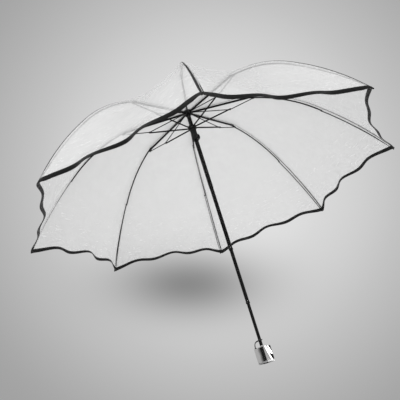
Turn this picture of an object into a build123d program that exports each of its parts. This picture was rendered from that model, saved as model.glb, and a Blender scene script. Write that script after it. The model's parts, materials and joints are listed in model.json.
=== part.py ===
"""Clear dome umbrella, open, standing upright on its handle.

Millimetres. +Z runs up the shaft, and the origin is the centre of the handle's bottom face.
The frame is modelled about the hub, where the top ribs pivot, and then lifted to its height.
One rib set lies along +X, with its pieces side by side across the rib so that they fold past
each other, and the other sets are turned copies of it.
"""
from build123d import *
import math
import os

# ---------------------------------------------------------------- driving sizes
canopy_radius = 480.0         # rib tips from the shaft's axis
canopy_drop = 268.0           # rib tips below the hub
shaft_length = 645.0          # handle's top to the hub
rib_count = 8
play = 0.05                   # radial running clearance of a pin in its eye
seat_gap = 0.02               # radial gap of a piece pressed or glued in its seat
side_gap = 0.3                # gap between pieces that fold past each other
cut_past = 1.0                # how far a cut runs past the surface it opens

# Shaft: four telescoping tubes, thickest at the top.  Each reach is the length that shows.
tube_wall = 0.5
tube_diameters = [11.0, 9.8, 8.6, 7.4]
lower_reaches = [173.0, 136.0, 103.0]
tube_overlap = 25.0           # each thinner tube's length inside the tube above

# Handle block, with its base plate
handle_width = 28.0
handle_height = 36.0
handle_turn = 50.0            # degrees about the shaft
handle_edge = 1.2             # rounding of the block's edges
base_thickness = 4.0
base_inset = 0.4
handle_socket = 20.0          # depth of the lowest tube in the handle

# Rib lines, as (radius, height) from the hub
crown_pivot_radius = 9.0
first_joint = (176.0, -5.0)   # top rib to middle rib
link_end = (185.0, -10.0)     # outer end of the brace
second_joint = (346.0, -104.0)  # middle rib to outer rib
rib_tip = (canopy_radius, -canopy_drop)
brace_joint = (114.0, -25.0)  # brace to stretcher
middle_bow = 14.0             # outward bow of the middle rib at its middle
outer_bow = 6.0

# Rib sections, as width across the rib and height
top_rib_width = 3.0
top_rib_height = 4.4
brace_width = 1.6
brace_height = 1.8
stretcher_width = 1.8
stretcher_height = 3.4
middle_rib_width = 1.8
middle_rib_height = 3.0
outer_rib_width = 1.6
outer_rib_height = 1.9
rib_wall = 0.5                # sheet thickness of the folded ribs
solid_end = 8.0               # filled length at each end of a folded rib
eye_radius = 2.0
pin_radius = 0.75
rivet_radius = 1.0
rivet_head = 0.4
tip_radius = 1.5
tip_length = 10.0             # round cap over the end of the outer rib

# Crown and ferrule
crown_radius = 12.5
crown_top = 3.9
crown_depth = 4.5
crown_plate = 1.3             # thickness of the crown above its slots
slot_play = 0.2               # clearance on each side of a rib in its slot
pin_length = 5.4
ferrule_radius = 9.0
ferrule_flange = 2.0
ferrule_height = 14.0
ferrule_shoulder = 5.0        # radius above the ferrule's flange
ferrule_step = 2.0
ferrule_nose = 3.5            # radius of its top
nose_round = 2.1
stud_radius = 2.5

# Runner
runner_pivot = (8.2, -47.0)
runner_bore_play = 0.1
runner_wall = 2.8
runner_length = 35.0          # below its flange
runner_flange_radius = 11.5
flange_rise = 3.6             # flange above the stretcher pivots
flange_depth = 4.5            # flange below the stretcher pivots
foot_radius = 9.4
foot_height = 4.0
housing_width = 8.0
housing_height = 12.0
housing_reach = 11.0
button_width = 5.0
button_height = 8.0
button_stroke = 1.5
button_gap = 0.1
button_back = 7.0             # radius of the button pocket's floor
button_round = 0.5

# Canopy film and its hem binding
film_thickness = 0.25
film_hole = 7.0               # radius of the film's hole at the ferrule
film_base = 4.4               # height of the film at that hole
film_gap = 5.6                # from the rib lines out to the film
bow_spans = 4                 # flat bands along each bowed rib
film_sag = [10.0, 14.5, 18.5, 21.0, 22.5, 22.5, 21.5, 19.0, 15.0]  # inward, halfway between ribs
sag_fullness = 0.19           # share of the sag that a quarter of the gore lies beyond halfway
hem_cut = 21.0                # how far the hem is cut back between tips, along the film
hem_width = 10.0
hem_wall = 0.5
hem_lip = 1.0                 # binding beyond the film's edge
hem_trim = 0.1                # degrees that the binding stops short of each rib

# Wrist strap
strap_radius = 1.0
strap_foot = (-15.2, -1.4)    # middle of its two ends on the handle
strap_spread = 3.0            # each end from that middle
strap_rise = 15.5             # height of the loop over the handle
strap_loop = 5.2              # half width of the loop round the shaft
strap_shoulder = 7.5          # where the strap bends over, below the loop
strap_dip = 0.5               # near end of the loop, below its far end
strap_turn = -10.0            # x of the loop's near end
strap_ease = (0.3, 0.2)       # sideways set of each leg
eyelet_width = 3.6
eyelet_thickness = 1.2

# ---------------------------------------------------------------- worked-out places
tube_reaches = [shaft_length - sum(lower_reaches), *lower_reaches]
hub_height = handle_height + shaft_length
crown_pivot = (crown_pivot_radius, 0.0)
gore_angle = 360 / rib_count

# Slabs across the rib, as (low, high) along the tangent
top_slab = (-top_rib_width / 2, top_rib_width / 2)
brace_slab = (-brace_width / 2, brace_width / 2)
stretcher_slab = (top_slab[0] - side_gap - stretcher_width, top_slab[0] - side_gap)
middle_slab = (top_slab[1] + side_gap, top_slab[1] + side_gap + middle_rib_width)
outer_slab = (middle_slab[1] + side_gap, middle_slab[1] + side_gap + outer_rib_width)


# ---------------------------------------------------------------- shared shapes
def direction(start, end):
    """Unit vector from start to end, and its left-hand normal, in a rib's own plane."""
    along = (Vector(*end) - Vector(*start)).normalized()
    return along, Vector(-along.Y, along.X)


def bar_face(start, end, low, high, bow=0.0):
    """Side view of a bar whose edges lie low and high from its line, bowed outward by bow."""
    first, last = Vector(*start), Vector(*end)
    along, out = direction(start, end)
    if bow == 0:
        return make_face(Polyline(first + out * low, first + out * high,
                                  last + out * high, last + out * low, close=True))
    half = (last - first).length / 2
    radius = (half**2 + bow**2) / (2 * bow)
    middle = (first + last) / 2
    centre = middle + out * (bow - radius)
    first_out = (first - centre) / radius
    last_out = (last - centre) / radius
    top = ThreePointArc(first + first_out * high, middle + out * (bow + high), last + last_out * high)
    bottom = ThreePointArc(last + last_out * low, middle + out * (bow + low), first + first_out * low)
    return make_face([top, Line(top @ 1, bottom @ 0), bottom, Line(bottom @ 1, top @ 0)])


def point_on(start, end, bow, share):
    """Point at a share of the way along a bowed line."""
    first, last = Vector(*start), Vector(*end)
    along, out = direction(start, end)
    half = (last - first).length / 2
    radius = (half**2 + bow**2) / (2 * bow)
    centre = (first + last) / 2 + out * (bow - radius)
    turn = math.asin(half / radius) * (2 * share - 1)
    return centre + (along * math.sin(turn) + out * math.cos(turn)) * radius


def across(face, slab):
    """Thicken a side view across the rib over a slab."""
    low, high = slab
    return extrude(Plane.XZ.offset(-high) * face, high - low)


def disc(centre, radius, slab):
    return across(Pos(*centre) * Circle(radius), slab)


def hollow(slab, wall):
    return (slab[0] + wall, slab[1] - wall)


def shortened(start, end, cut):
    """The line from start to end without a length at each end."""
    along, out = direction(start, end)
    first, last = Vector(*start) + along * cut, Vector(*end) - along * cut
    return (first.X, first.Y), (last.X, last.Y)


def tube(outer, bore, low, high):
    return Pos(0, 0, low) * extrude(Circle(outer) - Circle(bore), high - low)


def rod(radius, low, high):
    return Pos(0, 0, low) * extrude(Circle(radius), high - low)


def lifted(solid):
    return Pos(0, 0, hub_height) * solid


def save(solid, name):
    export_step(solid, f"parts/{name}.step")


# ---------------------------------------------------------------- shaft
def shaft_tube(index):
    """Tube number index from the top, about the hub."""
    outer = tube_diameters[index] / 2
    top = -sum(tube_reaches[:index]) + (tube_overlap if index else 0)
    bottom = -sum(tube_reaches[:index + 1])
    if index == 0:
        top = crown_top - crown_plate - seat_gap
    if index == len(tube_reaches) - 1:
        bottom -= handle_socket
    return tube(outer, outer - tube_wall, bottom, top)


# ---------------------------------------------------------------- handle
def handle_block():
    """Square block with a socket for the lowest tube."""
    body_height = handle_height - base_thickness
    block = Pos(0, 0, base_thickness + body_height / 2) * Box(handle_width, handle_width, body_height)
    edges = block.edges().filter_by(Axis.Z) + block.faces().sort_by(Axis.Z)[-1].edges()
    block = fillet(edges, handle_edge)
    socket_floor = handle_height - handle_socket
    socket = Pos(0, 0, socket_floor) * extrude(
        Circle(tube_diameters[-1] / 2 + seat_gap), handle_socket + cut_past)
    return Rot(0, 0, handle_turn) * (block - socket)


def handle_base():
    """Plate that closes the handle from below."""
    side = handle_width - 2 * base_inset
    plate = Pos(0, 0, base_thickness / 2) * Box(side, side, base_thickness)
    return Rot(0, 0, handle_turn) * fillet(plate.edges().filter_by(Axis.Z), handle_edge)


def strap_ends():
    """Where the strap's two ends leave the handle."""
    x, y = strap_foot
    return [(x, y + side * strap_spread) for side in (1, -1)]


def strap_eyelet():
    """Plate on the handle's top that the strap's ends come out of."""
    length = 2 * strap_spread + 4 * strap_radius
    plate = Pos(*strap_foot) * Rot(0, 0, 90) * SlotOverall(length, eyelet_width)
    for end in strap_ends():
        plate -= Pos(*end) * Circle(strap_radius + play)
    return Pos(0, 0, handle_height) * extrude(plate, eyelet_thickness)


def wrist_strap():
    """Thin cord from the handle's corner, once round the shaft and back."""
    (x, left), (x, right) = strap_ends()
    top = handle_height + strap_rise
    shoulder = top - strap_shoulder
    route = [
        (x, left, handle_height),
        (x, left + strap_ease[0], shoulder),
        (strap_turn, strap_loop, top - strap_dip),
        (strap_loop, strap_loop, top),
        (strap_loop, -strap_loop, top),
        (strap_turn, -strap_loop, top - strap_dip),
        (x, right - strap_ease[1], shoulder),
        (x, right, handle_height),
    ]
    radii = []
    for before, point, after in zip(route, route[1:], route[2:]):
        arriving = Vector(*point) - Vector(*before)
        leaving = Vector(*after) - Vector(*point)
        half_turn = math.radians(arriving.get_angle(leaving) / 2)
        radii.append(0.45 * min(arriving.length, leaving.length) / math.tan(half_turn))
    path = FilletPolyline(*route, radius=radii)
    print("wrist strap radii", [round(r, 1) for r in radii], "length", round(path.length, 1))
    section = Plane(origin=route[0], z_dir=path % 0) * Circle(strap_radius)
    return sweep(section, path=path)


# ---------------------------------------------------------------- one rib set, along +X
def top_rib():
    """Folded channel from the crown to the middle rib, open below, with the brace inside it."""
    half = top_rib_height / 2
    body = across(bar_face(crown_pivot, first_joint, -half, half), top_slab)
    body += across(bar_face(first_joint, link_end, -eye_radius, eye_radius), top_slab)
    body += disc(crown_pivot, half, top_slab)
    body += disc(first_joint, half, top_slab)
    body += disc(link_end, eye_radius, top_slab)
    inside = hollow(top_slab, rib_wall)
    along, out = direction(crown_pivot, first_joint)
    start = Vector(*crown_pivot) - along * (half + cut_past)
    end = Vector(*first_joint) - along * solid_end
    low = -half - cut_past
    body -= across(bar_face((start.X, start.Y), (end.X, end.Y), low, half - rib_wall), inside)
    along, out = direction(first_joint, link_end)
    start = Vector(*first_joint) + along * eye_radius
    end = Vector(*link_end) + along * (eye_radius + cut_past)
    body -= across(bar_face((start.X, start.Y), (end.X, end.Y), low, -low), inside)
    body -= across(bar_face(brace_joint, link_end, -brace_height, brace_height), inside)
    body -= disc(crown_pivot, pin_radius + play, top_slab)
    body -= disc(link_end, pin_radius + seat_gap, top_slab)
    body += disc(first_joint, rivet_radius, (top_slab[1], middle_slab[1]))
    return body


def brace():
    """Flat link from the crown pin to the stretcher's joint and on to the top rib's end."""
    half = brace_height / 2
    body = across(bar_face(crown_pivot, brace_joint, -half, half), brace_slab)
    body += across(bar_face(brace_joint, link_end, -half, half), brace_slab)
    body += disc(crown_pivot, top_rib_height / 2 - rib_wall - side_gap / 2, brace_slab)
    body += disc(brace_joint, eye_radius, (top_slab[0], brace_slab[1]))
    body += disc(link_end, half, brace_slab)
    body += disc(link_end, pin_radius, top_slab)
    return body - disc(crown_pivot, pin_radius + play, brace_slab)


def stretcher():
    """Folded channel from the runner to the brace, open below."""
    half = stretcher_height / 2
    body = across(bar_face(runner_pivot, brace_joint, -half, half), stretcher_slab)
    body += disc(runner_pivot, half, stretcher_slab)
    body += disc(brace_joint, eye_radius, stretcher_slab)
    start, end = shortened(runner_pivot, brace_joint, solid_end)
    groove = bar_face(start, end, -half - cut_past, half - rib_wall)
    body -= across(groove, hollow(stretcher_slab, rib_wall))
    body -= disc(runner_pivot, pin_radius + play, stretcher_slab)
    head = (stretcher_slab[0] - rivet_head, stretcher_slab[0])
    return body + disc(brace_joint, rivet_radius + rivet_head, head)


def middle_rib():
    """Bowed channel between the two rib joints, open below, with the outer rib's pin."""
    half = middle_rib_height / 2
    body = across(bar_face(first_joint, second_joint, -half, half, middle_bow), middle_slab)
    body += disc(first_joint, eye_radius, middle_slab)
    body += disc(second_joint, eye_radius, middle_slab)
    share = solid_end / (Vector(*second_joint) - Vector(*first_joint)).length
    groove = bar_face(first_joint, second_joint, -half - cut_past, half - rib_wall, middle_bow)
    body -= across(groove, hollow(middle_slab, rib_wall)) & groove_zone(share)
    body -= disc(first_joint, rivet_radius + play, middle_slab)
    body += disc(second_joint, rivet_radius, (middle_slab[1], outer_slab[1] + play))
    head = (outer_slab[1] + play, outer_slab[1] + play + rivet_head)
    return body + disc(second_joint, rivet_radius + rivet_head, head)


def groove_zone(share):
    """Block over the middle rib that stops its groove short of both ends."""
    first, last = Vector(*first_joint), Vector(*second_joint)
    start = first + (last - first) * share
    end = last - (last - first) * share
    low, high = -middle_rib_height, 2 * middle_bow
    return across(bar_face((start.X, start.Y), (end.X, end.Y), low, high), middle_slab)


def outer_rib():
    """Slim bowed bar from the second joint, ending in a round tip."""
    half = outer_rib_height / 2
    body = across(bar_face(second_joint, rib_tip, -half, half, outer_bow), outer_slab)
    body += disc(second_joint, eye_radius, outer_slab)
    body -= disc(second_joint, rivet_radius + play, outer_slab)
    end = Vector(*rib_tip)
    length = (end - Vector(*second_joint)).length
    before = point_on(second_joint, rib_tip, outer_bow, 1 - tip_length / length)
    along = (end - before).normalized()
    middle = (outer_slab[0] + outer_slab[1]) / 2
    seat = Plane(origin=(end.X, middle, end.Y), z_dir=(-along.X, 0, -along.Y))
    cap = seat * extrude(Circle(tip_radius), tip_length)
    cap += Pos(end.X, middle, end.Y) * Sphere(tip_radius)
    return body + cap


# ---------------------------------------------------------------- crown and ferrule
def crown():
    """Slotted disc on the shaft's top that the eight top ribs pivot in."""
    seat = tube_diameters[0] / 2
    body = Pos(0, 0, -crown_depth) * extrude(Circle(crown_radius), crown_depth + crown_top)
    body = chamfer(body.edges().group_by(Axis.Z)[-1], crown_plate / 2)
    body -= rod(seat + seat_gap, -crown_depth - cut_past, crown_top - crown_plate)
    body -= rod(stud_radius + seat_gap, -crown_depth, crown_top + cut_past)
    slot_start = crown_pivot_radius - top_rib_height / 2 - slot_play
    slot_top = crown_top - crown_plate
    slot_low = -crown_depth - cut_past
    for number in range(rib_count):
        slot = Pos(slot_start + crown_radius / 2, 0, (slot_top + slot_low) / 2) * Box(
            crown_radius, top_rib_width + 2 * slot_play, slot_top - slot_low)
        slot += disc(crown_pivot, pin_radius + seat_gap, (-pin_length / 2 - play, pin_length / 2 + play))
        body -= Rot(0, 0, gore_angle * number) * slot
    return body


def pins(centre, slab):
    """One short pin for each rib."""
    return Compound(children=[
        Rot(0, 0, gore_angle * number) * disc(centre, pin_radius, slab) for number in range(rib_count)])


def crown_pins():
    return pins(crown_pivot, (-pin_length / 2, pin_length / 2))


def ferrule():
    """Cap over the film's hole, with a stud into the crown."""
    low = film_base + film_thickness + seat_gap
    profile = Polyline(
        (0, low), (ferrule_radius, low), (ferrule_radius, low + ferrule_flange),
        (ferrule_shoulder, low + ferrule_flange + ferrule_step), (ferrule_nose, low + ferrule_height),
        (0, low + ferrule_height), close=True)
    cap = revolve(Plane.XZ * make_face(profile), Axis.Z)
    cap = fillet(cap.edges().group_by(Axis.Z)[-1], nose_round)
    return cap + rod(stud_radius, crown_top - crown_plate, low)


# ---------------------------------------------------------------- runner
def runner():
    """Sleeve that slides on the top tube, with a slotted flange and a housing for its button."""
    bore = tube_diameters[0] / 2 + runner_bore_play
    pivot_radius, pivot_height = runner_pivot
    top = pivot_height + flange_rise
    flange_low = pivot_height - flange_depth
    bottom = flange_low - runner_length
    body = rod(bore + runner_wall, bottom, top)
    body += rod(runner_flange_radius, flange_low, top)
    body += rod(foot_radius, bottom, bottom + foot_height)
    housing_low = bottom + foot_height / 2
    body += Pos(housing_reach / 2, 0, housing_low + housing_height / 2) * Box(
        housing_reach, housing_width, housing_height)
    pocket_width = button_width + 2 * button_gap
    pocket_height = button_height + 2 * button_gap
    body -= Pos(button_back + housing_reach / 2, 0, housing_low + housing_height / 2) * Box(
        housing_reach, pocket_width, pocket_height)
    body -= rod(bore, bottom - cut_past, top + cut_past)
    half = stretcher_height / 2
    slot_start = pivot_radius - half - slot_play
    floor = pivot_height - half - slot_play
    middle = (stretcher_slab[0] + stretcher_slab[1]) / 2
    reach = stretcher_width / 2 + slot_play
    for number in range(rib_count):
        slot = Pos(slot_start + runner_flange_radius / 2, middle, floor + flange_rise + half) * Box(
            runner_flange_radius, 2 * reach, 2 * (flange_rise + half))
        bore_slab = (middle - 2 * reach - play, middle + 2 * reach + play)
        slot += disc(runner_pivot, pin_radius + seat_gap, bore_slab)
        body -= Rot(0, 0, gore_angle * number) * slot
    return body


def runner_pins():
    middle = (stretcher_slab[0] + stretcher_slab[1]) / 2
    reach = stretcher_width / 2 + slot_play
    return pins(runner_pivot, (middle - 2 * reach, middle + 2 * reach))


def release_button():
    """Push button in the runner's housing, out at rest."""
    bottom = runner_pivot[1] - flange_depth - runner_length
    height = bottom + foot_height / 2 + housing_height / 2
    inner = button_back + button_stroke + button_gap
    outer = housing_reach + button_stroke
    button = Pos((inner + outer) / 2, 0, height) * Box(outer - inner, button_width, button_height)
    return fillet(button.faces().sort_by(Axis.X)[-1].edges(), button_round)


# ---------------------------------------------------------------- canopy
def film_line():
    """Rib line under the film, as (radius, height, share of the way from first joint to tip)."""
    spans = [(first_joint, second_joint, middle_bow), (second_joint, rib_tip, outer_bow)]
    line = []
    for number, (start, end, bow) in enumerate(spans):
        for step in range(bow_spans):
            point = point_on(start, end, bow, step / bow_spans)
            line.append((point.X, point.Y, (number + step / bow_spans) / 2))
    line.append((*rib_tip, 1.0))
    return line


def film_levels():
    """Inner surface of the film: corner radius and height, outward normal, sag and cut."""
    line = film_line()
    levels = [(film_hole, film_base, Vector(0, 1), 0.0, 0.0)]
    for number, (radius, height, share) in enumerate(line):
        before = line[number - 1][:2] if number else crown_pivot
        after = line[number + 1][:2] if number + 1 < len(line) else line[number][:2]
        along, out = direction(before, after)
        place = (radius + out.X * film_gap, height + out.Y * film_gap)
        levels.append((*place, out, film_sag[number], hem_cut * share**7))
    return levels


def between(low, high, share):
    """Level at a share of the way from one level to the next."""
    return tuple(a + (b - a) * share for a, b in zip(low, high))


def half_gore(levels, side, inward, outward, trim=0.0):
    """Half of a gore between levels, as one ruled solid, stopped trim degrees short of the rib."""
    half_turn = math.radians(gore_angle / 2)
    rib_turn = math.radians(trim if side == 0 else gore_angle - trim)
    sections = []
    for radius, height, out, sag, cut in levels:
        thick = Vector(out.X * math.cos(half_turn), out.X * math.sin(half_turn), out.Y)
        upward = Vector(-out.Y * math.cos(half_turn), -out.Y * math.sin(half_turn), out.X)
        rib = Vector(radius * math.cos(rib_turn), radius * math.sin(rib_turn), height)
        chord = radius * math.cos(half_turn)
        valley = Vector(chord * math.cos(half_turn), chord * math.sin(half_turn), height)
        valley += upward * cut - thick * sag
        quarter = (rib + valley) / 2 - thick * sag * sag_fullness
        line = [rib, quarter, valley]
        corners = [point - thick * inward for point in line]
        corners += [point + thick * outward for point in reversed(line)]
        sections.append(Face(Wire.make_polygon(corners, close=True)))
    return loft(sections, ruled=True)


def canopy_gore():
    """Film between two ribs, from the ferrule to the hem."""
    halves = [half_gore(film_levels(), side, 0, film_thickness) for side in (0, 1)]
    return halves[0] + halves[1]


def hem_levels():
    """Levels of the binding: hem_width above the film's edge, and hem_lip past it."""
    last, edge = film_levels()[-2:]
    length = math.hypot(edge[0] - last[0], edge[1] - last[1])
    return [between(last, edge, 1 - hem_width / length), between(last, edge, 1 + hem_lip / length)]


def hem_piece(film):
    """Binding folded over the film's edge between two ribs."""
    levels = hem_levels()
    halves = [half_gore(levels, side, hem_wall, film_thickness + hem_wall, hem_trim) for side in (0, 1)]
    return halves[0] + halves[1] - film


def around(solid):
    """The same solid once for each gore."""
    return Compound(children=[
        lifted(Rot(0, 0, gore_angle * number) * solid) for number in range(rib_count)])


# ---------------------------------------------------------------- write the parts
os.makedirs("parts", exist_ok=True)

for index in range(len(tube_reaches)):
    save(lifted(shaft_tube(index)), f"shaft_tube_{index + 1}")
save(handle_block(), "handle_block")
save(handle_base(), "handle_base")
save(strap_eyelet(), "strap_eyelet")
save(wrist_strap(), "wrist_strap")
save(lifted(crown()), "crown")
save(lifted(crown_pins()), "crown_pins")
save(lifted(ferrule()), "ferrule")
save(lifted(runner()), "runner")
save(lifted(runner_pins()), "runner_pins")
save(lifted(release_button()), "release_button")

rib_pieces = {"top_rib": top_rib(), "brace": brace(), "stretcher": stretcher(),
              "middle_rib": middle_rib(), "outer_rib": outer_rib()}
for name, piece in rib_pieces.items():
    for number in range(rib_count):
        save(lifted(Rot(0, 0, gore_angle * number) * piece), f"{name}_{number + 1}")

gore = canopy_gore()
save(around(gore), "canopy_gores")
save(around(hem_piece(gore)), "hem_binding")
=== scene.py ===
"""Clear dome umbrella, dressed for a studio picture.

Metres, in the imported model's own frame: +Z runs up the shaft, and the origin is the middle of the
handle's foot.  The canopy is made here as clear film in strips that ride the ribs, with a taped,
wavy hem.  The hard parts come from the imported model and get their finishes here.
"""
import json
import math

import bpy
from mathutils import Matrix, Vector


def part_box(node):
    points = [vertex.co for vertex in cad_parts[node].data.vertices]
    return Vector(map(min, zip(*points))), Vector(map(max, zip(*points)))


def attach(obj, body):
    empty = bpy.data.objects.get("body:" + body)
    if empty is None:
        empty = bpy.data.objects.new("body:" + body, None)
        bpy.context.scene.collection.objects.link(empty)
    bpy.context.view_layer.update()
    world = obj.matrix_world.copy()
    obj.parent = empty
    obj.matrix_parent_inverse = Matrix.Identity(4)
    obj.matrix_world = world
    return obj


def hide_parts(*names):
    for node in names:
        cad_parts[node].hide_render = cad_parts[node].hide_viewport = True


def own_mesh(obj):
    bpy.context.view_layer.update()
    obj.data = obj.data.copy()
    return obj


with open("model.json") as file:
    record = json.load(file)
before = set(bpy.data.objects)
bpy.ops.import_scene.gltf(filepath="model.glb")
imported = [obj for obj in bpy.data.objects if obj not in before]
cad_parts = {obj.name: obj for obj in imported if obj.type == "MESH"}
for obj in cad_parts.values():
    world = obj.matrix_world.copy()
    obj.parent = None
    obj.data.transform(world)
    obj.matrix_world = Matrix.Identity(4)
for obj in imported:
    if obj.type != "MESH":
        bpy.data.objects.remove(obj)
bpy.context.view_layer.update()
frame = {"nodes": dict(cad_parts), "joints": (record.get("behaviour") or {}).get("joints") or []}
bpy.ops.object.select_all(action='DESELECT')

RIBS = 8
MM = 0.001

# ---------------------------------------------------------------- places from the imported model
places = {joint["name"]: Vector(joint["pos_m"]) for joint in frame["joints"] if "pos_m" in joint}
hub = Vector((0.0, 0.0, places["crown_hinge_1"].z))
handle_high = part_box("handle_block")[1]
tip_low, tip_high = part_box("outer_rib_1")
TIP_RADIUS = 1.5 * MM


def rib_turn(number):
    """Angle of a rib about the shaft; ribs count from 0, and halves are gore middles."""
    return 2 * math.pi * number / RIBS


def outward(number):
    """Level direction away from the shaft over a rib, or over a gore's middle."""
    return Vector((math.cos(rib_turn(number)), math.sin(rib_turn(number)), 0.0))


# ---------------------------------------------------------------- camera
camera_place = (-0.0854, -1.2481, -0.0858)
camera_ahead = (0.03581, 0.92491, 0.37849)
camera_across = (0.95986, 0.0736, -0.27067)
LENS = 47.67                  # millimetres, on a sensor of the next width
SENSOR = 36.0


def make_camera():
    """Low in front of the umbrella, looking up under the canopy."""
    data = bpy.data.cameras.new("camera")
    data.lens = LENS
    data.sensor_width = SENSOR
    data.clip_start = 0.01
    camera = bpy.data.objects.new("camera", data)
    bpy.context.scene.collection.objects.link(camera)
    across, up, ahead = camera_axes()
    turn = Matrix((across, up, -ahead)).transposed().to_4x4()
    camera.matrix_world = Matrix.Translation(camera_place) @ turn
    bpy.context.scene.camera = camera


def camera_axes():
    """Directions across, up and ahead of the camera, square to each other."""
    ahead = Vector(camera_ahead).normalized()
    across = Vector(camera_across)
    across = (across - ahead * across.dot(ahead)).normalized()
    return across, across.cross(ahead), ahead


# ---------------------------------------------------------------- small tools
def link_mesh(name, points, faces, uvs=None):
    """New mesh object from points and faces, with a UV for each point."""
    mesh = bpy.data.meshes.new(name)
    mesh.from_pydata(points, [], faces)
    if uvs:
        layer = mesh.uv_layers.new(name="Strip")
        for loop in mesh.loops:
            layer.data[loop.index].uv = uvs[loop.vertex_index]
    mesh.update()
    piece = bpy.data.objects.new(name, mesh)
    bpy.context.scene.collection.objects.link(piece)
    return piece


def grid_faces(columns, rows):
    """Quads of a grid of points that are stored row by row."""
    faces = []
    for row in range(rows - 1):
        for column in range(columns - 1):
            corner = row * columns + column
            faces.append((corner, corner + 1, corner + columns + 1, corner + columns))
    return faces


def only(piece):
    bpy.ops.object.select_all(action='DESELECT')
    piece.select_set(True)
    bpy.context.view_layer.objects.active = piece


def finish_piece(piece, angle=32.0):
    """Apply the modifiers in their order, and shade smooth but for the sharp edges."""
    only(piece)
    for modifier in list(piece.modifiers):
        bpy.ops.object.modifier_apply(modifier=modifier.name)
    bpy.ops.object.shade_smooth_by_angle(angle=math.radians(angle))
    piece.select_set(False)


def even_normals():
    """Turn every face of the piece in edit mode outward."""
    bpy.ops.mesh.select_all(action='SELECT')
    bpy.ops.mesh.normals_make_consistent(inside=False)


def thicken(piece, thickness, offset=0.0):
    wall = piece.modifiers.new("wall", 'SOLIDIFY')
    wall.thickness = thickness
    wall.offset = offset


# ---------------------------------------------------------------- node helpers
def put(tree, kind, settings=None, **values):
    """Add a node; values are numbers, or sockets to link, and _ in a name stands for a space."""
    new = tree.nodes.new(kind)
    for key, value in (settings or {}).items():
        setattr(new, key, value)
    for key, value in values.items():
        socket = new.inputs[int(key[1:])] if key[0] == "i" and key[1:].isdigit() else new.inputs[
            key.replace("_", " ")]
        if isinstance(value, bpy.types.NodeSocket):
            tree.links.new(value, socket)
        else:
            socket.default_value = value
    return new


def math_of(tree, operation, first, second=0.5, clamp=False):
    return put(tree, 'ShaderNodeMath', {"operation": operation, "use_clamp": clamp},
               i0=first, i1=second).outputs[0]


def spread(tree, value, low, high, to_low=0.0, to_high=1.0):
    """Map a range to another, clamped."""
    return put(tree, 'ShaderNodeMapRange', Value=value, From_Min=low, From_Max=high,
               To_Min=to_low, To_Max=to_high).outputs[0]


def blend_colour(tree, share, first, second):
    new = put(tree, 'ShaderNodeMix', {"data_type": 'RGBA'})
    for socket, value in ((new.inputs[0], share), (new.inputs[6], first), (new.inputs[7], second)):
        if isinstance(value, bpy.types.NodeSocket):
            tree.links.new(value, socket)
        else:
            socket.default_value = value
    return new.outputs[2]


def grey(value, warmth=0.0):
    return (value * (1 + warmth), value, value * (1 - warmth), 1.0)


def new_group(name, inputs, outputs):
    tree = bpy.data.node_groups.new(name, 'ShaderNodeTree')
    for label, kind, default in inputs:
        socket = tree.interface.new_socket(label, in_out='INPUT', socket_type=kind)
        if default is not None:
            socket.default_value = default
    for label, kind in outputs:
        tree.interface.new_socket(label, in_out='OUTPUT', socket_type=kind)
    start = tree.nodes.new('NodeGroupInput')
    end = tree.nodes.new('NodeGroupOutput')
    return tree, start.outputs, end.inputs


def use_group(tree, group, **values):
    new = tree.nodes.new('ShaderNodeGroup')
    new.node_tree = group
    for key, value in values.items():
        socket = new.inputs[key.replace("_", " ")]
        if isinstance(value, bpy.types.NodeSocket):
            tree.links.new(value, socket)
        else:
            socket.default_value = value
    return new.outputs


def new_material(name, **values):
    """Material with a Principled shader whose plain values are set on its own sockets."""
    material = bpy.data.materials.new(name)
    material.use_nodes = True
    tree = material.node_tree
    shader = tree.nodes["Principled BSDF"]
    for key, value in values.items():
        shader.inputs[key.replace("_", " ")].default_value = value
    return material, tree, shader


def join_to(tree, shader, **sockets):
    for key, socket in sockets.items():
        tree.links.new(socket, shader.inputs[key.replace("_", " ")])


# ---------------------------------------------------------------- shared effects
def make_scuffs():
    """Rubbed places and hairline scratches, by place on the piece."""
    tree, given, result = new_group(
        "scuffs",
        [("Vector", 'NodeSocketVector', None), ("Scale", 'NodeSocketFloat', 60.0),
         ("Amount", 'NodeSocketFloat', 0.3)],
        [("Worn", 'NodeSocketFloat'), ("Smudge", 'NodeSocketFloat')])
    patches = put(tree, 'ShaderNodeTexNoise', Vector=given["Vector"], Scale=given["Scale"],
                  Detail=5.0, Roughness=0.62).outputs[0]
    fine_scale = math_of(tree, 'MULTIPLY', given["Scale"], 14.0)
    stretched = put(tree, 'ShaderNodeMapping', Vector=given["Vector"], Scale=(1.0, 1.0, 0.06))
    lines = put(tree, 'ShaderNodeTexNoise', Vector=stretched.outputs[0], Scale=fine_scale,
                Detail=3.0, Roughness=0.5).outputs[0]
    both = math_of(tree, 'MULTIPLY', patches, lines)
    worn = spread(tree, both, 0.32, 0.5)
    worn = math_of(tree, 'MULTIPLY', worn, given["Amount"], clamp=True)
    tree.links.new(worn, result["Worn"])
    tree.links.new(patches, result["Smudge"])
    return tree


def make_grain():
    """Fine raised grain, as bumps for a moulded or painted skin."""
    tree, given, result = new_group(
        "grain",
        [("Vector", 'NodeSocketVector', None), ("Scale", 'NodeSocketFloat', 1500.0),
         ("Depth", 'NodeSocketFloat', 0.2)],
        [("Normal", 'NodeSocketVector')])
    speckle = put(tree, 'ShaderNodeTexNoise', Vector=given["Vector"], Scale=given["Scale"],
                  Detail=2.0, Roughness=0.5).outputs[0]
    bump = put(tree, 'ShaderNodeBump', Strength=given["Depth"], Distance=0.0002, Height=speckle)
    tree.links.new(bump.outputs[0], result["Normal"])
    return tree


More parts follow.
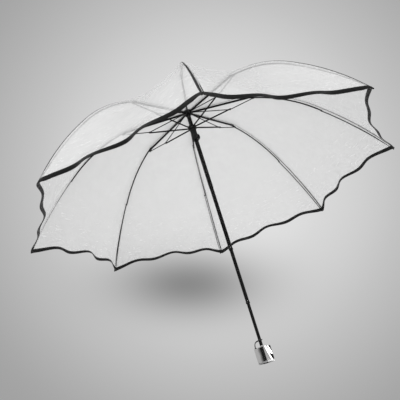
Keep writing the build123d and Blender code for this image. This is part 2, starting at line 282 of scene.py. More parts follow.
def make_weave():
    """Over-and-under threads on a strip: U and V are counts of threads."""
    tree, given, result = new_group(
        "weave",
        [("UV", 'NodeSocketVector', None), ("Along", 'NodeSocketFloat', 2000.0),
         ("Across", 'NodeSocketFloat', 20.0)],
        [("Height", 'NodeSocketFloat'), ("Thread", 'NodeSocketFloat')])
    parts = put(tree, 'ShaderNodeSeparateXYZ', Vector=given["UV"]).outputs
    first = math_of(tree, 'MULTIPLY', math_of(tree, 'MULTIPLY', parts[0], given["Along"]), math.pi)
    second = math_of(tree, 'MULTIPLY', math_of(tree, 'MULTIPLY', parts[1], given["Across"]), math.pi)
    over = math_of(tree, 'MULTIPLY', math_of(tree, 'SINE', first, 0.0), math_of(tree, 'SINE', second, 0.0))
    height = math_of(tree, 'ABSOLUTE', over, 0.0)
    tree.links.new(height, result["Height"])
    tree.links.new(spread(tree, over, -1.0, 1.0), result["Thread"])
    return tree


scuffs = make_scuffs()
grain = make_grain()
weave = make_weave()


def object_place(tree):
    return tree.nodes.new('ShaderNodeTexCoord').outputs["Object"]


# ---------------------------------------------------------------- finishes
def rib_paint():
    """Black stoved paint on the folded steel ribs."""
    material, tree, shader = new_material("rib_paint", Specular_IOR_Level=0.16)
    place = object_place(tree)
    wear = use_group(tree, scuffs, Vector=place, Scale=55.0, Amount=0.3)
    colour = blend_colour(tree, wear["Worn"], grey(0.004), grey(0.07, 0.02))
    join_to(tree, shader, Base_Color=colour, Metallic=math_of(tree, 'MULTIPLY', wear["Worn"], 0.4),
            Roughness=spread(tree, wear["Smudge"], 0.3, 0.7, 0.28, 0.46),
            Normal=use_group(tree, grain, Vector=place, Scale=1800.0, Depth=0.12)["Normal"])
    return material


def shaft_paint():
    """Gloss black on the telescoping tubes, with the faint lines that sliding leaves."""
    material, tree, shader = new_material("shaft_paint", Specular_IOR_Level=0.2)
    place = object_place(tree)
    wear = use_group(tree, scuffs, Vector=place, Scale=38.0, Amount=0.25)
    colour = blend_colour(tree, wear["Worn"], grey(0.004), grey(0.05, 0.02))
    join_to(tree, shader, Base_Color=colour, Metallic=math_of(tree, 'MULTIPLY', wear["Worn"], 0.35),
            Roughness=spread(tree, wear["Smudge"], 0.3, 0.7, 0.2, 0.34),
            Normal=use_group(tree, grain, Vector=place, Scale=1300.0, Depth=0.06)["Normal"])
    return material


def moulded_black():
    """Fine-textured black plastic of the crown, ferrule and runner."""
    material, tree, shader = new_material("moulded_black", Specular_IOR_Level=0.2)
    place = object_place(tree)
    wear = use_group(tree, scuffs, Vector=place, Scale=70.0, Amount=0.2)
    colour = blend_colour(tree, wear["Smudge"], grey(0.005), grey(0.015))
    join_to(tree, shader, Base_Color=colour,
            Roughness=spread(tree, wear["Smudge"], 0.3, 0.7, 0.36, 0.52),
            Normal=use_group(tree, grain, Vector=place, Scale=2600.0, Depth=0.3)["Normal"])
    return material


def bright_pin():
    """Plain steel of the pins and catches."""
    material, tree, shader = new_material("bright_pin", Metallic=1.0)
    place = object_place(tree)
    wear = use_group(tree, scuffs, Vector=place, Scale=90.0, Amount=0.5)
    colour = blend_colour(tree, wear["Smudge"], grey(0.34), grey(0.52, 0.01))
    join_to(tree, shader, Base_Color=colour,
            Roughness=spread(tree, wear["Smudge"], 0.3, 0.7, 0.24, 0.42))
    return material


def handle_chrome():
    """Bright plating, with the slight waves of a polished casting and finger marks."""
    material, tree, shader = new_material("handle_chrome", Metallic=1.0)
    place = object_place(tree)
    wear = use_group(tree, scuffs, Vector=place, Scale=42.0, Amount=0.3)
    waves = put(tree, 'ShaderNodeTexWave', {"wave_type": 'BANDS', "bands_direction": 'DIAGONAL'},
                Vector=place, Scale=22.0, Distortion=2.2, Detail=1.0).outputs[1]
    parts = put(tree, 'ShaderNodeSeparateXYZ', Vector=place).outputs
    square = math_of(tree, 'ADD', math_of(tree, 'MULTIPLY', parts[0], parts[0]),
                     math_of(tree, 'MULTIPLY', parts[1], parts[1]))
    crown = math_of(tree, 'MULTIPLY', square, -3.6)
    height = math_of(tree, 'ADD', crown, math_of(tree, 'MULTIPLY', waves, 0.0003))
    bump = put(tree, 'ShaderNodeBump', Strength=1.0, Distance=1.0, Height=height)
    colour = blend_colour(tree, wear["Smudge"], grey(0.72), grey(0.86, 0.01))
    join_to(tree, shader, Base_Color=colour, Normal=bump.outputs[0],
            Roughness=spread(tree, wear["Smudge"], 0.35, 0.75, 0.04, 0.13))
    return material


def satin_metal():
    """Brushed metal of the handle's base plate."""
    material, tree, shader = new_material("satin_metal", Metallic=1.0)
    place = object_place(tree)
    brushed = put(tree, 'ShaderNodeMapping', Vector=place, Scale=(1.0, 1.0, 24.0))
    lines = put(tree, 'ShaderNodeTexNoise', Vector=brushed.outputs[0], Scale=160.0, Detail=4.0,
                Roughness=0.6).outputs[0]
    bump = put(tree, 'ShaderNodeBump', Strength=0.15, Distance=0.0003, Height=lines)
    colour = blend_colour(tree, lines, grey(0.5), grey(0.72))
    join_to(tree, shader, Base_Color=colour, Normal=bump.outputs[0],
            Roughness=spread(tree, lines, 0.3, 0.7, 0.26, 0.42))
    return material


def shaft_distance(tree, place):
    """Level distance of a place from the shaft's axis."""
    parts = put(tree, 'ShaderNodeSeparateXYZ', Vector=place).outputs
    level = put(tree, 'ShaderNodeCombineXYZ', X=parts[0], Y=parts[1]).outputs[0]
    return put(tree, 'ShaderNodeVectorMath', {"operation": 'LENGTH'}, i0=level).outputs["Value"]


def strip_uv(tree):
    return put(tree, 'ShaderNodeUVMap', {"uv_map": "Strip"}).outputs[0]


def clear_film():
    """Clear vinyl: faint uneven milk, with soft ripples, and pulled creases by the hem painted pale and
    milkier as highlights.
    """
    material, tree, shader = new_material("clear_film", Specular_IOR_Level=0.15, IOR=1.45)
    place = object_place(tree)
    cloud = put(tree, 'ShaderNodeTexNoise', Vector=place, Scale=9.0, Detail=3.0,
                Roughness=0.55).outputs[0]
    stretched = put(tree, 'ShaderNodeMapping', Vector=place, Scale=(1.0, 1.0, 0.35))
    ripple = put(tree, 'ShaderNodeTexNoise', Vector=stretched.outputs[0], Scale=46.0, Detail=2.0,
                 Roughness=0.5, Distortion=0.4).outputs[0]
    bump = put(tree, 'ShaderNodeBump', Strength=0.25, Distance=0.004, Height=ripple)
    pulled = put(tree, 'ShaderNodeMapping', Vector=place, Scale=(1.0, 1.0, 4.5))
    folds = put(tree, 'ShaderNodeTexNoise', Vector=pulled.outputs[0], Scale=38.0, Detail=3.0,
                Roughness=0.6, Distortion=1.2).outputs[0]
    by_hem = spread(tree, shaft_distance(tree, place), 0.33, 0.43)
    # Painted highlights: along stretched folds near the hem the film turns paler and milkier.
    crease_highlight = math_of(tree, 'MULTIPLY', spread(tree, folds, 0.60, 0.68), by_hem)
    milk = math_of(tree, 'ADD', spread(tree, cloud, 0.3, 0.7, 0.34, 0.40),
                   math_of(tree, 'MULTIPLY', crease_highlight, 0.22), clamp=True)
    flat_colour = blend_colour(tree, cloud, grey(0.89), grey(0.93))
    join_to(tree, shader, Alpha=milk, Normal=bump.outputs[0],
            Base_Color=blend_colour(tree, crease_highlight, flat_colour, grey(0.97)),
            Roughness=spread(tree, cloud, 0.3, 0.7, 0.16, 0.3))
    return material


def weld_with_painted_shade():
    """Welded seam over a rib: a faint grey near the crown, black and denser towards the tip, where the black
    is painted shade along the rib.
    """
    material, tree, shader = new_material("weld_with_painted_shade", Specular_IOR_Level=0.2, Roughness=0.4)
    place = object_place(tree)
    mottle = put(tree, 'ShaderNodeTexNoise', Vector=place, Scale=320.0, Detail=2.0).outputs[0]
    # Painted shade: the seam darkens to black and grows denser towards the tip.
    black = spread(tree, shaft_distance(tree, place), 0.29, 0.37)
    solid = math_of(tree, 'ADD', math_of(tree, 'MULTIPLY', black, 0.5), 0.32)
    solid = math_of(tree, 'ADD', solid, spread(tree, mottle, 0.3, 0.7, 0.0, 0.14), clamp=True)
    join_to(tree, shader, Alpha=solid, Base_Color=blend_colour(tree, black, grey(0.16), grey(0.005)))
    return material


def hem_tape():
    """Black satin binding, woven, with a row of stitches."""
    material, tree, shader = new_material("hem_tape", Sheen_Weight=0.04, Sheen_Roughness=0.5,
                                          Specular_IOR_Level=0.18)
    strip = strip_uv(tree)
    cloth = use_group(tree, weave, UV=strip, Along=2200.0, Across=22.0)
    parts = put(tree, 'ShaderNodeSeparateXYZ', Vector=strip).outputs
    beat = math_of(tree, 'FRACT', math_of(tree, 'MULTIPLY', parts[0], 330.0), 0.0)
    dash = math_of(tree, 'LESS_THAN', beat, 0.68)
    near = math_of(tree, 'ABSOLUTE', math_of(tree, 'SUBTRACT', math_of(
        tree, 'ABSOLUTE', math_of(tree, 'SUBTRACT', parts[1], 0.5), 0.0), 0.39), 0.0)
    stitch = math_of(tree, 'MULTIPLY', dash, math_of(tree, 'LESS_THAN', near, 0.014))
    height = math_of(tree, 'ADD', math_of(tree, 'MULTIPLY', cloth["Height"], 0.35), stitch)
    bump = put(tree, 'ShaderNodeBump', Strength=0.6, Distance=0.0004, Height=height)
    colour = blend_colour(tree, cloth["Thread"], grey(0.005), grey(0.011))
    colour = blend_colour(tree, stitch, colour, grey(0.03))
    join_to(tree, shader, Base_Color=colour, Normal=bump.outputs[0],
            Roughness=spread(tree, cloth["Height"], 0.0, 1.0, 0.62, 0.44))
    return material


def strap_cord():
    """Thin braided black cord."""
    material, tree, shader = new_material("strap_cord", Sheen_Weight=0.3, Sheen_Roughness=0.5)
    place = object_place(tree)
    fibres = put(tree, 'ShaderNodeTexWave', {"wave_type": 'BANDS', "bands_direction": 'DIAGONAL'},
                 Vector=place, Scale=420.0, Distortion=1.5, Detail=2.0).outputs[1]
    bump = put(tree, 'ShaderNodeBump', Strength=0.5, Distance=0.0003, Height=fibres)
    join_to(tree, shader, Base_Color=blend_colour(tree, fibres, grey(0.008), grey(0.03)),
            Normal=bump.outputs[0], Roughness=spread(tree, fibres, 0.0, 1.0, 0.75, 0.55))
    return material


finishes = {"rib_paint": rib_paint(), "shaft_paint": shaft_paint(), "moulded_black": moulded_black(),
            "bright_pin": bright_pin(), "handle_chrome": handle_chrome(), "satin_metal": satin_metal(),
            "clear_film": clear_film(), "weld_with_painted_shade": weld_with_painted_shade(), "hem_tape": hem_tape(),
            "strap_cord": strap_cord()}

node_finishes = {
    "rib_paint": ["top_rib", "brace", "stretcher", "middle_rib", "outer_rib"],
    "shaft_paint": ["shaft_tube"],
    "moulded_black": ["crown", "ferrule", "runner", "release_button", "strap_eyelet"],
    "bright_pin": ["crown_pins", "runner_pins"],
    "handle_chrome": ["handle_block"],
    "satin_metal": ["handle_base"],
}


def finish_nodes():
    """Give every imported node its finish, by its name without its number."""
    known = {stem: finish for finish, stems in node_finishes.items() for stem in stems}
    for name, node in frame["nodes"].items():
        stem = name.rstrip("0123456789").rstrip("_")
        finish = known.get(name) or known.get(stem)
        if finish:
            node.data.materials.clear()
            node.data.materials.append(finishes[finish])


# ---------------------------------------------------------------- canopy shape
FILM_GAP = 5.6 * MM           # from the rib lines out to the film
TIP_GAP = 1.2 * MM            # the same at the rib's tip, where the hem is tied down
FILM = 0.3 * MM
MIDDLE_BOW = 14 * MM          # outward bow of the middle rib and of the outer rib
OUTER_BOW = 6 * MM
HEM_CUT = 21 * MM             # how far the hem is cut back between tips, along the film
TURN_WIDTH = 14 * MM          # how much of the film by the hem is turned under
RUFFLE_WIDTH = 0.075          # how much of it waves in and out with the hem
ZONE_LENGTH = 0.212           # of the outer strip, from the second joint to the tip

# How far the film sinks inward halfway between two ribs, as (s, millimetres)
film_sag = [(0.0, 0.0), (0.5, 2.0), (1.0, 10.0), (1.5, 18.5), (2.0, 22.5), (2.5, 21.5), (3.0, 15.0)]

TAPE = 10 * MM

# How far each gore's edge is turned under, in millimetres; below zero it stands out
hem_turns = [2.0, 1.5, 1.5, 2.0, -1.5, 5.8, 4.6, -1.0]

HEM_RIPPLES = 3               # waves of the gathered hem in each gore
# How far each gore's hem is drawn up, or let down below zero, and how deep its waves are, in millimetres
hem_gathers = [(9, 8), (-3, 9), (9, 9), (12, 9), (-5, 5), (-11, 17), (3, 11), (3, 3)]


def curve_through(knots, at):
    """Smooth curve through knots of (parameter, *values), read at a parameter."""
    spans = range(len(knots) - 1)
    span = next((i for i in spans if at <= knots[i + 1][0]), spans[-1])
    low, high = knots[span], knots[span + 1]
    before = knots[max(span - 1, 0)]
    after = knots[min(span + 2, len(knots) - 1)]
    width = high[0] - low[0]
    share = (at - low[0]) / width
    values = []
    for one, two, three, four in zip(before[1:], low[1:], high[1:], after[1:]):
        start = (three - one) / (high[0] - before[0]) * width
        end = (four - two) / (after[0] - low[0]) * width
        values.append((2 * share**3 - 3 * share**2 + 1) * two + (share**3 - 2 * share**2 + share) * start
                      + (3 * share**2 - 2 * share**3) * three + (share**3 - share**2) * end)
    return values


def bowed(start, end, bow, share):
    """Point at a share of the way along a shallow bow from start to end, in a rib's plane."""
    chord = end - start
    out = Vector((-chord.y, chord.x)).normalized()
    return start + chord * share + out * bow * 4 * share * (1 - share)


def film_knots():
    """Film over a rib as (s, radius, height): s is 0 at the ferrule, 1 and 2 at the joints, 3 at the tip."""
    crown = Vector((places["crown_hinge_1"].x, 0.0))
    first = Vector((places["middle_hinge_1"].x, places["middle_hinge_1"].z - hub.z))
    second = Vector((places["outer_hinge_1"].x, places["outer_hinge_1"].z - hub.z))
    tip = Vector((tip_high.x - TIP_RADIUS, tip_low.z + TIP_RADIUS - hub.z))
    line = [(0.5, crown.lerp(first, 0.5)), (1.0, first)]
    line += [(1 + share, bowed(first, second, MIDDLE_BOW, share)) for share in (0.25, 0.5, 0.75)]
    line += [(2.0, second)]
    line += [(2 + share, bowed(second, tip, OUTER_BOW, share)) for share in (0.33, 0.67)]
    line += [(3.0, tip)]
    knots = [(0.0, 7 * MM, 4.55 * MM)]
    for number, (s, point) in enumerate(line):
        before = line[number - 1][1] if number else crown
        after = line[min(number + 1, len(line) - 1)][1]
        along = (after - before).normalized()
        gap = FILM_GAP if s < 2 else FILM_GAP + (TIP_GAP - FILM_GAP) * (s - 2)**2
        point = point + Vector((-along.y, along.x)) * gap
        knots.append((s, point.x, point.y))
    return knots


film_line = film_knots()


def film_point(rib, across, s):
    """Point of the film: across is -0.5 to 0.5 gores from the rib, and s runs from ferrule to hem."""
    gore = rib if across >= 0 else rib - 1
    u = across if across >= 0 else 1 + across
    radius, height = curve_through(film_line, s)
    nearby = curve_through(film_line, s - 0.01)
    middle = outward(gore + 0.5)
    up_film = (middle * (nearby[0] - radius) + Vector((0, 0, nearby[1] - height))).normalized()
    out_film = Vector((0, 0, 1)) * -up_film.dot(middle) + middle * up_film.z
    share = max(0.0, (s - 1) / 2)
    from_hem = (3 - s) * ZONE_LENGTH
    arch = 4 * u * (1 - u)
    ruffle = max(0.0, 1 - from_hem / RUFFLE_WIDTH)**2
    lift, depth = hem_gathers[gore % RIBS]
    wave = (lift - depth * math.cos(math.tau * HEM_RIPPLES * u)) * arch**0.5 * MM
    point = (outward(gore) * radius).lerp(outward(gore + 1) * radius, u)
    point += hub + Vector((0, 0, height))
    point += up_film * (HEM_CUT * share**7 * arch**0.8 + wave * 0.75 * share**9)
    point -= out_film * curve_through(film_sag, s)[0] * MM * arch**1.3
    point -= out_film * wave * 0.6 * ruffle
    turned = max(0.0, 1 - from_hem / TURN_WIDTH) * min(1.0, arch * 5)
    point -= out_film * hem_turns[gore % RIBS] * MM * turned
    return point


def column_shares(count):
    """Places across a rib's strip, closer together by the rib."""
    side = [0.0, 0.006, 0.02] + [0.5 * step / count for step in range(2, count + 1)]
    return [-share for share in reversed(side[1:])] + side


def film_strip(rib, zone, columns, rows):
    """One strip of film over one rib, from one joint to the next, with closer rows by the hem."""
    crowd = 1.5 if zone == 2 else 1.0
    shares = [zone + 1 - (1 - step / rows)**crowd for step in range(rows + 1)]
    points = []
    uvs = []
    for s in shares:
        for across in columns:
            points.append(film_point(rib, across, s))
            uvs.append((across, s))
    faces = grid_faces(len(columns), len(shares))
    piece = link_mesh(f"film_{zone + 1}_rib_{rib + 1}", points, faces, uvs)
    piece.data.materials.append(finishes["clear_film"])
    thicken(piece, FILM)
    finish_piece(piece, 28.0)
    return piece


def weld_strip(rib, zone, rows):
    """Raised welded joint that runs along the film over one rib, and widens towards the tip."""
    # Section as (share of the half width, height over the film in millimetres)
    profile = [(-1.0, 0.05), (-0.7, 0.5), (0.0, 0.7), (0.7, 0.5), (1.0, 0.05), (0.6, -0.45), (-0.6, -0.45)]
    points = []
    for step in range(rows + 1):
        s = zone + step / rows
        wide = 1.3 + 1.2 * min(1.0, max(0.0, s - 1.7))
        here = film_point(rib, 0.0, s)
        along = (film_point(rib, 0.0, max(s - 0.01, 0.0)) - film_point(rib, 0.0, s + 0.01)).normalized()
        side = outward(rib + 2)
        out = side.cross(along)
        if out.z < 0:
            out = -out
        points += [here + side * x * wide * MM + out * y * MM for x, y in profile]
    count = len(profile)
    faces = [tuple(reversed(range(count))), tuple(range(rows * count, (rows + 1) * count))]
    for row in range(rows):
        for column in range(count):
            low = row * count + column
            high = row * count + (column + 1) % count
            faces.append((low, high, high + count, low + count))
    piece = link_mesh(f"weld_{zone + 1}_rib_{rib + 1}", points, faces)
    piece.data.materials.append(finishes["weld_with_painted_shade"])
    only(piece)
    bpy.ops.object.mode_set(mode='EDIT')
    even_normals()
    bpy.ops.object.mode_set(mode='OBJECT')
    finish_piece(piece, 50.0)
    return piece


def tape_strip(rib, columns):
    """Binding folded over the hem, from one gore's middle to the next, round the tip."""
    # Section as (distance back from the hem, height over the film), in millimetres
    section = [(10.0, -0.35), (6.7, -0.4), (3.3, -0.42), (0.3, -0.42), (-1.0, -0.2), (-1.0, 0.2),
               (0.3, 0.42), (3.3, 0.42), (6.7, 0.4), (10.0, 0.35)]
    points = []
    uvs = []
    length = 0.0
    last = None
    step = 0.004
    for across in columns:
        edge = film_point(rib, across, 3.0)
        if last is not None:
            length += (edge - last).length
        last = edge
        side = film_point(rib, min(across + step, 0.5), 3.0) - film_point(rib, max(across - step, -0.5), 3.0)
        above = film_point(rib, across, 3.0 - TAPE / ZONE_LENGTH)
        up = (above - edge).normalized()
        out = up.cross(side).normalized()
        if out.dot(outward(rib)) < 0:
            out = -out
        for number, (back, lift) in enumerate(section):
            on_film = film_point(rib, across, 3.0 - max(back, 0.0) * MM / ZONE_LENGTH)
            points.append(on_film + up * min(back, 0.0) * MM + out * lift * MM)
            uvs.append((length, number / (len(section) - 1)))
    faces = grid_faces(len(section), len(columns))
    piece = link_mesh(f"hem_rib_{rib + 1}", points, faces, uvs)
    piece.data.materials.append(finishes["hem_tape"])
    only(piece)
    bpy.ops.object.mode_set(mode='EDIT')
    even_normals()
    bpy.ops.object.mode_set(mode='OBJECT')
    thicken(piece, 0.35 * MM)
    finish_piece(piece, 40.0)
    return piece


def fold_with_rib(piece, body):
    """Carry a strip on its rib."""
    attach(piece, body)
    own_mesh(piece)


def make_canopy():
    bodies = ["top_rib", "middle_rib", "outer_rib"]
    rows = [10, 12, 26]
    for rib in range(RIBS):
        hem = tape_strip(rib, column_shares(60))
        body = f"outer_rib_{rib + 1}"
        fold_with_rib(hem, body)
        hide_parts("hem_binding")
        for zone in range(3):
            body = f"{bodies[zone]}_{rib + 1}"
            film = film_strip(rib, zone, column_shares(30), rows[zone])
            weld = weld_strip(rib, zone, rows[zone])
            for piece in (film, weld):
                fold_with_rib(piece, body)
            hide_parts("canopy_gores")


# ---------------------------------------------------------------- wrist strap
def make_strap():
    """Cord from the handle's corner, once round the shaft and back."""
    x, top, foot, reach = -15.2, 51.5, 36.0, 5.2
    left, right = 1.6, -4.4
    route = [(x, left, foot), (x, left + 0.3, top - 7.5), (-10.0, reach, top - 0.5),
             (reach, reach, top), (reach, -reach, top), (-10.0, -reach, top - 0.5),
             (x, right - 0.2, top - 7.5), (x, right, foot)]
    data = bpy.data.curves.new("wrist_cord", 'CURVE')
    data.dimensions = '3D'
    spline = data.splines.new('NURBS')
    spline.points.add(len(route) - 1)
    for point, place in zip(spline.points, route):
        point.co = (place[0] * MM, place[1] * MM, place[2] * MM, 1.0)
    spline.order_u = 3
    spline.use_endpoint_u = True
    spline.resolution_u = 16
    data.bevel_depth = 1.0 * MM
    data.bevel_resolution = 4
    data.materials.append(finishes["strap_cord"])
    cord = bpy.data.objects.new("wrist_cord", data)
    bpy.context.scene.collection.objects.link(cord)
    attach(cord, "handle")
    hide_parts("wrist_strap")


# ---------------------------------------------------------------- small fittings
def settle(piece, name, finish, body, bevel):
    """Name a piece, put its place in its mesh, ease its edges, and hand it to its body."""
    piece.name = name
    only(piece)
    bpy.ops.object.transform_apply(location=True, rotation=True, scale=True)
    piece.data.materials.append(finishes[finish])
    if bevel:
        edge = piece.modifiers.new("eased", 'BEVEL')
        edge.width = bevel
        edge.segments = 2
        edge.limit_method = 'ANGLE'
    finish_piece(piece)
    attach(piece, body)


def pick(piece, wanted):
    """Select in edit mode only the faces whose middle and normal pass the test."""
    bpy.ops.mesh.select_all(action='DESELECT')
    bpy.ops.object.mode_set(mode='OBJECT')
    for face in piece.data.polygons:
        face.select = wanted(face.center, face.normal)
    bpy.ops.object.mode_set(mode='EDIT')


def make_sleeve(name, radius, low, height, lip, finish, body):
    """Short sleeve on a tube, with a rolled bead at its foot."""
    bead, shoulder = 0.22, 0.34
    bpy.ops.object.select_all(action='DESELECT')
    bpy.ops.mesh.primitive_cylinder_add(vertices=48, radius=radius, depth=height, end_fill_type='NOTHING',
                                        location=(0, 0, low + height / 2))
    sleeve = bpy.context.object
    bpy.ops.object.mode_set(mode='EDIT')
    bpy.ops.mesh.select_mode(type='FACE')
    for cut in (bead, shoulder):
        bpy.ops.mesh.select_all(action='SELECT')
        bpy.ops.mesh.bisect(plane_co=(0, 0, low + height * cut), plane_no=(0, 0, 1))
    pick(sleeve, lambda middle, normal: middle.z < height * (bead - 0.5))
    swell = (radius + lip) / radius
    bpy.ops.transform.resize(value=(swell, swell, 1.0), center_override=(0, 0, low))
    even_normals()
    bpy.ops.object.mode_set(mode='OBJECT')
    thicken(sleeve, 0.4 * MM, 1.0)
    settle(sleeve, name, finish, body, 0.15 * MM)


def set_order():
    """Put the parts of the piece in edit mode in order of distance from one point off its axes.

    A cut through a sphere gives them in a new order each time, and this makes every run the same.
    """
    cursor = bpy.context.scene.cursor
    cursor.location = (0.013, 0.029, 0.007)
    bpy.ops.mesh.sort_elements(type='CURSOR_DISTANCE', elements={'VERT', 'EDGE', 'FACE'})
    cursor.location = (0, 0, 0)


def make_catch(name, radius, height, body):
    """Domed spring button that shows through its hole in a tube."""
    bpy.ops.object.select_all(action='DESELECT')
    bpy.ops.mesh.primitive_uv_sphere_add(segments=20, ring_count=12, radius=1.3 * MM,
                                         location=(0, -radius + 0.3 * MM, height))
    catch = bpy.context.object
    bpy.ops.object.mode_set(mode='EDIT')
    bpy.ops.mesh.select_all(action='SELECT')
    bpy.ops.transform.resize(value=(1.0, 0.62, 1.0), center_override=(0, -radius, height))
    bpy.ops.mesh.bisect(plane_co=(0, -radius + 0.4 * MM, height), plane_no=(0, 1, 0), use_fill=True,
                        clear_outer=True)
    even_normals()
    set_order()
    bpy.ops.object.mode_set(mode='OBJECT')
    settle(catch, name, "bright_pin", body, 0)


def make_rosette():
    """Thin disc that presses the film down round the ferrule."""
    height = hub.z + 5.4 * MM
    bpy.ops.object.select_all(action='DESELECT')
    bpy.ops.mesh.primitive_cylinder_add(vertices=64, radius=12.5 * MM, depth=0.8 * MM,
                                        location=(0, 0, height))
    disc = bpy.context.object
    bpy.ops.object.mode_set(mode='EDIT')
    bpy.ops.mesh.select_mode(type='FACE')
    pick(disc, lambda middle, normal: normal.z > 0.9)
    bpy.ops.mesh.inset(thickness=2.2 * MM, depth=0.5 * MM)
    bpy.ops.mesh.inset(thickness=1.0 * MM, depth=-0.2 * MM)
    bpy.ops.object.mode_set(mode='OBJECT')
    settle(disc, "film_rosette", "moulded_black", "upper_shaft", 0.15 * MM)


def make_tip_threads():
    """Three turns of thread that tie the hem to each rib's tip: made once, and copied round."""
    before, tip = [Vector((radius, 0.0, hub.z + height)) for radius, height in
                   (curve_through(film_line, 2.9), curve_through(film_line, 3.0))]
    along = (tip - before).normalized()
    turn = along.to_track_quat('Z', 'Y').to_euler()
    middle = tip - along * 4.0 * MM + Vector((along.z, 0, -along.x)) * 1.2 * MM
    bpy.ops.object.select_all(action='DESELECT')
    turns = []
    for number in (-1, 0, 1):
        bpy.ops.mesh.primitive_torus_add(major_segments=28, minor_segments=8, major_radius=2.0 * MM,
                                         minor_radius=0.3 * MM, rotation=turn,
                                         location=middle + along * number * 0.62 * MM)
        turns.append(bpy.context.object)
    bpy.ops.object.select_all(action='DESELECT')
    for ring in turns:
        ring.select_set(True)
    bpy.context.view_layer.objects.active = turns[0]
    bpy.ops.object.join()
    first = turns[0]
    only(first)
    bpy.ops.object.transform_apply(location=True, rotation=True, scale=True)
    bpy.ops.object.shade_smooth()
    first.data.materials.append(finishes["strap_cord"])
    shape = first.data.copy()
    for rib in range(RIBS):
        thread = first if rib == 0 else bpy.data.objects.new("thread", shape.copy())
        if rib:
            thread.data.transform(Matrix.Rotation(rib_turn(rib), 4, 'Z'))
            bpy.context.scene.collection.objects.link(thread)
        thread.name = f"tip_thread_{rib + 1}"
        thread.data.name = thread.name
        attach(thread, f"outer_rib_{rib + 1}")


def make_fittings():
    # The runner slides over the top tube and, closed, over the second sleeve, so both stay slim.
    for number, body, lip in ((2, "middle_tube", 0.1), (3, "lower_tube", 0.35)):
        low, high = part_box(f"shaft_tube_{number}")
        make_sleeve(f"tube_sleeve_{number}", high.x + 0.02 * MM, low.z + 0.1 * MM, 4.6 * MM, lip * MM,
                    "moulded_black", body)
        make_catch(f"spring_catch_{number}", high.x, low.z + 6.2 * MM, body)
    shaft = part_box("shaft_tube_4")[1].x
    make_sleeve("handle_collar", shaft + 0.15 * MM, handle_high.z + 0.05 * MM, 3.2 * MM, 1.2 * MM,
                "handle_chrome", "handle")
    make_rosette()
    make_tip_threads()


# ---------------------------------------------------------------- studio
def make_floor():
    """Pale floor at the handle's foot, seen only from above."""
    bpy.ops.mesh.primitive_grid_add(x_subdivisions=8, y_subdivisions=8, size=9.0, location=(0, 0, -0.0005))
    floor = bpy.context.object
    floor.name = "studio_floor"
    material, tree, shader = new_material("studio_floor", Roughness=0.85, Specular_IOR_Level=0.1)
    place = object_place(tree)
    mottle = put(tree, 'ShaderNodeTexNoise', Vector=place, Scale=1.5, Detail=3.0).outputs[0]
    join_to(tree, shader, Base_Color=blend_colour(tree, mottle, grey(0.84), grey(0.87)))
    end = next(n for n in tree.nodes if n.type == 'OUTPUT_MATERIAL')
    clear = tree.nodes.new('ShaderNodeBsdfTransparent')
    under = tree.nodes.new('ShaderNodeNewGeometry').outputs["Backfacing"]
    mixed = put(tree, 'ShaderNodeMixShader', i0=under, i1=shader.outputs[0], i2=clear.outputs[0])
    tree.links.new(mixed.outputs[0], end.inputs[0])
    floor.data.materials.append(material)
    floor.select_set(False)


# Painted pool of light on the wall: its grey by how straight ahead it lies, from behind the camera to its
# view's middle
lit_wall_stops = [(0.0, 0.50), (0.6, 0.42), (0.86, 0.34), (0.9, 0.40), (0.945, 0.54), (0.98, 0.70), (1.0, 0.80)]

# Painted soft shadow on the wall below the canopy: its middle and half size, right and up of straight ahead
shadow_middle = (-0.022, -0.158)
shadow_reach = (0.145, 0.064)
SHADOW_DEPTH = 0.76

# Painted reflections: dark bands in the world that only glossy rays see, mirrored by polished metal, as
# (direction, cosines at the inner and outer edge)
painted_dark_reflections = [((-0.891, -0.454, 0.05), 0.985, 0.958), ((0.87, 0.50, 0.08), 0.990, 0.975),
              ((0.93, 0.26, -0.22), 0.990, 0.975)]


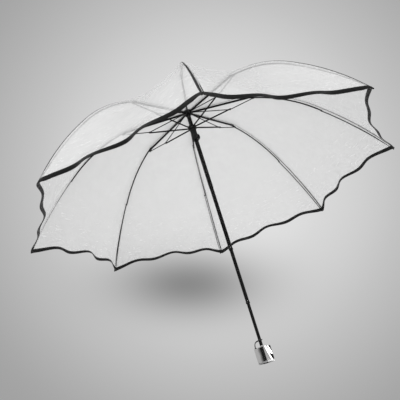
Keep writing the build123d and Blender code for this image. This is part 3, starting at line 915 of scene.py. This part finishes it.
def make_world():
    """Grey studio wall, painted lightest ahead, with a painted soft shadow and painted dark reflections that
    only metal shows, and even light for the rest.
    """
    world = bpy.data.worlds.new("studio")
    bpy.context.scene.world = world
    world.use_nodes = True
    tree = world.node_tree
    tree.nodes.clear()
    across, up, ahead = camera_axes()
    toward = tree.nodes.new('ShaderNodeTexCoord').outputs["Generated"]

    def part(direction):
        dot = put(tree, 'ShaderNodeVectorMath', {"operation": 'DOT_PRODUCT'}, i0=toward,
                  i1=tuple(direction))
        return dot.outputs["Value"]

    depth = math_of(tree, 'MAXIMUM', part(ahead), 0.05)
    # Painted light: the wall is lightest straight ahead and darker towards the view's edges.
    ramp = tree.nodes.new('ShaderNodeValToRGB')
    tree.links.new(part((ahead + across * 0.03 + up * 0.03).normalized()), ramp.inputs[0])
    ramp.color_ramp.interpolation = 'B_SPLINE'
    while len(ramp.color_ramp.elements) < len(lit_wall_stops):
        ramp.color_ramp.elements.new(0.5)
    for element, (place, value) in zip(ramp.color_ramp.elements, lit_wall_stops):
        element.position = place
        element.color = grey(value)
    # Painted shadow: a soft dark patch on the wall below the canopy.
    right_of = math_of(tree, 'DIVIDE', part(across), depth)
    over = math_of(tree, 'DIVIDE', part(up), depth)
    side = math_of(tree, 'DIVIDE', math_of(tree, 'SUBTRACT', right_of, shadow_middle[0]), shadow_reach[0])
    rise = math_of(tree, 'DIVIDE', math_of(tree, 'SUBTRACT', over, shadow_middle[1]), shadow_reach[1])
    far = math_of(tree, 'ADD', math_of(tree, 'MULTIPLY', side, side), math_of(tree, 'MULTIPLY', rise, rise))
    fade = math_of(tree, 'EXPONENT', math_of(tree, 'MULTIPLY', far, -1.0), 0.0)
    pool = math_of(tree, 'MULTIPLY', fade, SHADOW_DEPTH)
    seen = blend_colour(tree, pool, ramp.outputs[0], grey(0.12))
    path = tree.nodes.new('ShaderNodeLightPath').outputs
    # Painted reflections: dark bands that only glossy rays see, so bright metal shows dark streaks.
    dark_reflections = None
    for aim, inner, outer in painted_dark_reflections:
        dark_reflection = spread(tree, part(Vector(aim).normalized()), outer, inner)
        dark_reflections = dark_reflection if dark_reflections is None else math_of(tree, 'MAXIMUM', dark_reflections, dark_reflection)
    dark_reflections = math_of(tree, 'MULTIPLY', dark_reflections, path["Is Glossy Ray"])
    seen = blend_colour(tree, dark_reflections, seen, grey(0.015))
    direct = math_of(tree, 'MAXIMUM', path["Is Camera Ray"],
                     math_of(tree, 'MAXIMUM', path["Is Glossy Ray"], path["Is Transmission Ray"]))
    colour = blend_colour(tree, direct, grey(0.95), seen)
    back = put(tree, 'ShaderNodeBackground', Color=colour, Strength=1.0)
    end = tree.nodes.new('ShaderNodeOutputWorld')
    tree.links.new(back.outputs[0], end.inputs[0])


def make_lamp(name, place, aim, size, power):
    data = bpy.data.lights.new(name, 'AREA')
    data.shape = 'RECTANGLE'
    data.size, data.size_y = size
    data.energy = power
    lamp = bpy.data.objects.new(name, data)
    lamp.location = place
    lamp.rotation_euler = (Vector(aim) - Vector(place)).to_track_quat('-Z', 'Y').to_euler()
    bpy.context.scene.collection.objects.link(lamp)


def make_studio():
    make_floor()
    make_world()
    make_lamp("overhead_softbox", (-0.6, -0.4, 2.6), (0, 0, 0.5), (1.6, 1.6), 5.0)
    make_lamp("right_strip", (2.2, 0.62, 0.3), (0, 0, 0.1), (0.32, 1.4), 5.0)
    scene = bpy.context.scene
    scene.view_settings.view_transform = 'Standard'


make_camera()
make_strap()
finish_nodes()
make_canopy()
make_fittings()
make_studio()
